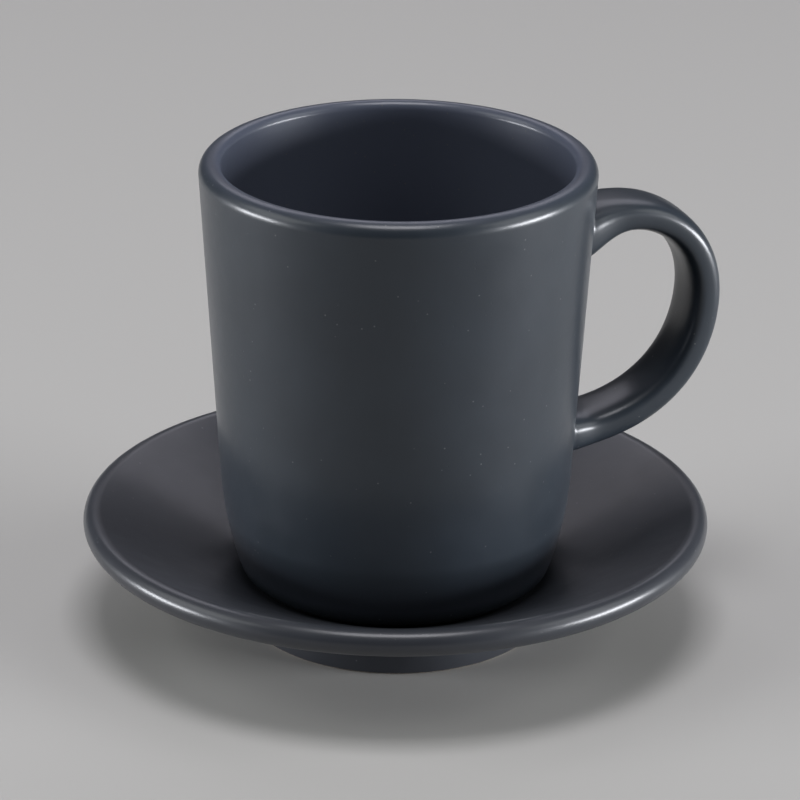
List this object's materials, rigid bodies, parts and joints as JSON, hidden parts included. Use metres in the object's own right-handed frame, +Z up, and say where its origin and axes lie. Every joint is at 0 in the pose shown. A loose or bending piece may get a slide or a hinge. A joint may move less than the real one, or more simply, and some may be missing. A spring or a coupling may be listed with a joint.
{
  "type": "espresso cup and saucer",
  "caption": "Small, nearly straight-sided ceramic cup with a strap handle, standing in the well of its dished, round-edged saucer and lifting off it.",
  "frame": {"origin": "on the surface that the saucer stands on, under the middle of the whole, so the axis that the cup and the saucer share stands at x = -2 mm", "axes": "+Z up along that axis, +X the way the handle points, and the plane y = 0 cuts the cup, handle and saucer into mirrored halves"},
  "size_m": [0.1068, 0.1028, 0.0796],
  "materials": {
    "cup_glaze": "satin slate-grey glaze",
    "saucer_glaze": "satin slate-grey glaze"
  },
  "bodies": {
    "saucer": {"saucer": "saucer_glaze"},
    "cup": {"cup_body": "cup_glaze", "cup_handle": "cup_glaze"}
  },
  "joints": [
    {"name": "cup_lift", "type": "slide", "parent": "saucer", "child": "cup", "axis": [0, 0, 1], "range_m": [0, 0.06]}
  ]
}
